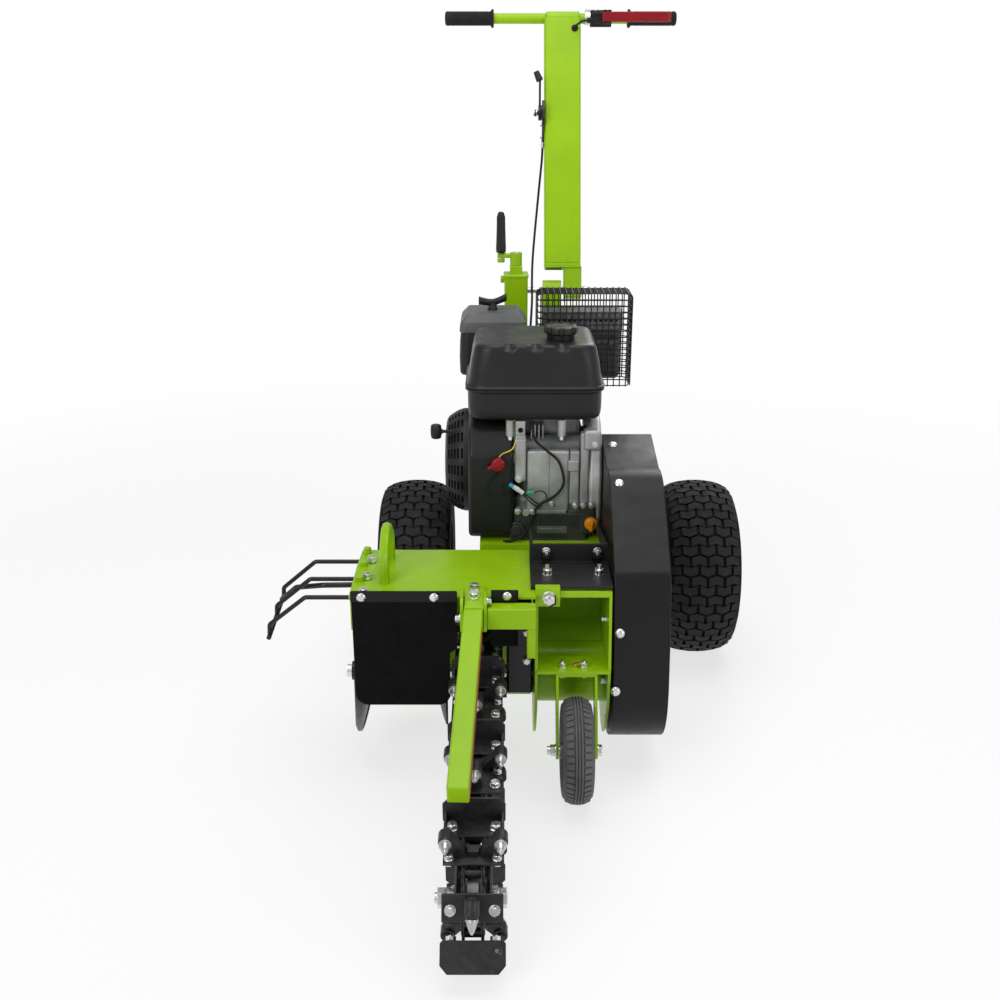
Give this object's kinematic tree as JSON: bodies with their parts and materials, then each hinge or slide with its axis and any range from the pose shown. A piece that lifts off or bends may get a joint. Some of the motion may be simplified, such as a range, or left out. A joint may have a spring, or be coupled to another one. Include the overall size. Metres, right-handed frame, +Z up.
{
  "type": "petrol trencher",
  "caption": "Walk-behind petrol trencher with a digging chain on a front boom, a spoil auger, turf tyres, a jockey wheel and a folding T handle with a depth crank.",
  "frame": {"origin": "middle of the machine's bounding box in X and Y, on the ground", "axes": "+Z up, -Y the way the boom points, +X to the right of someone who looks at the boom from the front"},
  "size_m": [0.996, 1.8188, 1.451],
  "materials": {
    "green": "gloss lime green paint",
    "black": "black powder coat",
    "rubber": "black rubber",
    "engine_plastic": "matt black plastic",
    "tank_paint": "dark grey satin paint",
    "cast": "cast",
    "steel": "zinc plated",
    "dark_steel": "dark oiled steel",
    "red": "gloss red",
    "orange": "gloss orange"
  },
  "bodies": {
    "frame": {"main_frame": "green", "fork_box": "green", "auger_housing": "green", "front_flap": "rubber", "small_flap": "rubber", "spoil_guard": "black", "safety_bar": "green", "bar_bracket": "green", "jockey_fork": "green", "jockey_axle": "steel", "engine_mount": "black", "engine_block": "cast", "side_cover": "cast", "tank_lower": "tank_paint", "tank_upper": "tank_paint", "blower_housing": "engine_plastic", "recoil_cover": "engine_plastic", "air_filter": "engine_plastic", "muffler": "dark_steel", "muffler_guard": "dark_steel", "belt_guard": "black", "guard_back": "black", "drive_belt": "rubber", "chain_case": "black", "boom_bar": "black", "nose_axle": "steel", "digging_chain": "dark_steel", "jack_outer": "green", "hinge_pin": "steel", "throttle_cable": "rubber"},
    "wheel_carriage": {"carriage": "green", "axle": "steel"},
    "left_wheel": {"left_tyre": "rubber", "left_rim": "green"},
    "right_wheel": {"right_tyre": "rubber", "right_rim": "green"},
    "jockey_wheel": {"jockey_tyre": "rubber", "jockey_rim": "cast"},
    "drive": {"drive_shaft": "steel", "driven_pulley": "cast", "auger": "black", "drive_sprocket": "steel"},
    "crank_pulley": {"engine_pulley": "cast"},
    "nose": {"nose_roller": "steel"},
    "handle": {"mast": "green", "stop_cable": "rubber", "left_grip": "rubber", "right_grip": "rubber", "lever_clamp": "black", "throttle_base": "dark_steel"},
    "safety": {"safety_lever": "red"},
    "throttle": {"throttle_lever": "black"},
    "depth_crank": {"crank_arm": "green"},
    "depth_crank_grip": {"crank_grip": "black"},
    "jack_ram": {"jack_inner": "steel"},
    "tank_cap": {"fuel_cap": "black"},
    "oil_dipstick": {"dipstick": "orange"},
    "engine_switch": {"kill_switch": "red"},
    "starter_handle": {"recoil_handle": "black"},
    "filter_wing_knob": {"filter_knob": "black"}
  },
  "joints": [
    {"name": "carriage_pivot", "type": "hinge", "parent": "frame", "child": "wheel_carriage", "pos_m": [-0.02353, 0.03583, 0.262], "axis": [-1, 0, 0], "range_deg": [0, 8]},
    {"name": "left_wheel_spin", "type": "hinge", "parent": "wheel_carriage", "child": "left_wheel", "pos_m": [-0.24403, 0.28583, 0.203], "axis": [1, 0, 0], "continuous": true},
    {"name": "right_wheel_spin", "type": "hinge", "parent": "wheel_carriage", "child": "right_wheel", "pos_m": [0.40797, 0.28583, 0.203], "axis": [1, 0, 0], "continuous": true},
    {"name": "jockey_wheel_spin", "type": "hinge", "parent": "frame", "child": "jockey_wheel", "pos_m": [0.09347, -0.36317, 0.101], "axis": [1, 0, 0], "continuous": true},
    {"name": "drive_spin", "type": "hinge", "parent": "frame", "child": "drive", "pos_m": [-0.02353, -0.19417, 0.18], "axis": [1, 0, 0], "continuous": true},
    {"name": "crank_pulley_spin", "type": "hinge", "parent": "frame", "child": "crank_pulley", "pos_m": [-0.02353, 0.17583, 0.503], "axis": [1, 0, 0], "continuous": true},
    {"name": "nose_spin", "type": "hinge", "parent": "frame", "child": "nose", "pos_m": [-0.09203, -0.79997, 0.11205], "axis": [1, 0, 0], "continuous": true},
    {"name": "handle_fold", "type": "hinge", "parent": "frame", "child": "handle", "pos_m": [0.10447, 0.66083, 0.79], "axis": [1, 0, 0], "range_deg": [0, 60], "deforming": ["throttle_cable"]},
    {"name": "throttle_turn", "type": "hinge", "parent": "handle", "child": "throttle", "pos_m": [0.05167, 0.78383, 1.208], "axis": [1, 0, 0], "range_deg": [0, 50]},
    {"name": "safety_squeeze", "type": "hinge", "parent": "handle", "child": "safety", "pos_m": [0.21247, 0.83733, 1.432], "axis": [0, 0, 1], "range_deg": [0, 8], "stiffness_Nm_per_rad": 4, "springref_deg": -11.46},
    {"name": "depth_crank_spin", "type": "hinge", "parent": "frame", "child": "depth_crank", "pos_m": [-0.01103, 0.67083, 0.862], "axis": [0, 0, 1], "continuous": true},
    {"name": "crank_grip_spin", "type": "hinge", "parent": "depth_crank", "child": "depth_crank_grip", "pos_m": [-0.04853, 0.67083, 0.881], "axis": [0, 0, 1], "continuous": true},
    {"name": "jack_slide", "type": "slide", "parent": "frame", "child": "jack_ram", "axis": [0, 0, -1], "range_m": [0, 0.09]},
    {"name": "tank_cap_turn", "type": "hinge", "parent": "frame", "child": "tank_cap", "pos_m": [0.07447, 0.10783, 0.7953], "axis": [0, 0, 1], "range_deg": [0, 90]},
    {"name": "dipstick_turn", "type": "hinge", "parent": "frame", "child": "oil_dipstick", "pos_m": [0.14097, 0.04153, 0.407], "axis": [0, 1, 0], "range_deg": [0, 180]},
    {"name": "switch_turn", "type": "hinge", "parent": "frame", "child": "engine_switch", "pos_m": [-0.05453, 0.02653, 0.544], "axis": [0, 1, 0], "range_deg": [0, 45]},
    {"name": "starter_pull", "type": "slide", "parent": "frame", "child": "starter_handle", "axis": [-1, 0, 0], "range_m": [0, 0.25], "stiffness_N_per_m": 40, "springref_m": -0.05},
    {"name": "filter_knob_turn", "type": "hinge", "parent": "frame", "child": "filter_wing_knob", "pos_m": [-0.06753, 0.38383, 0.7953], "axis": [0, 0, 1], "continuous": true}
  ],
  "couplings": [
    {"joint": "crank_pulley_spin", "follows": "drive_spin", "ratio": 3.3636},
    {"joint": "nose_spin", "follows": "drive_spin", "ratio": 1},
    {"joint": "jack_slide", "follows": "carriage_pivot", "m_per_rad": 0.635}
  ]
}
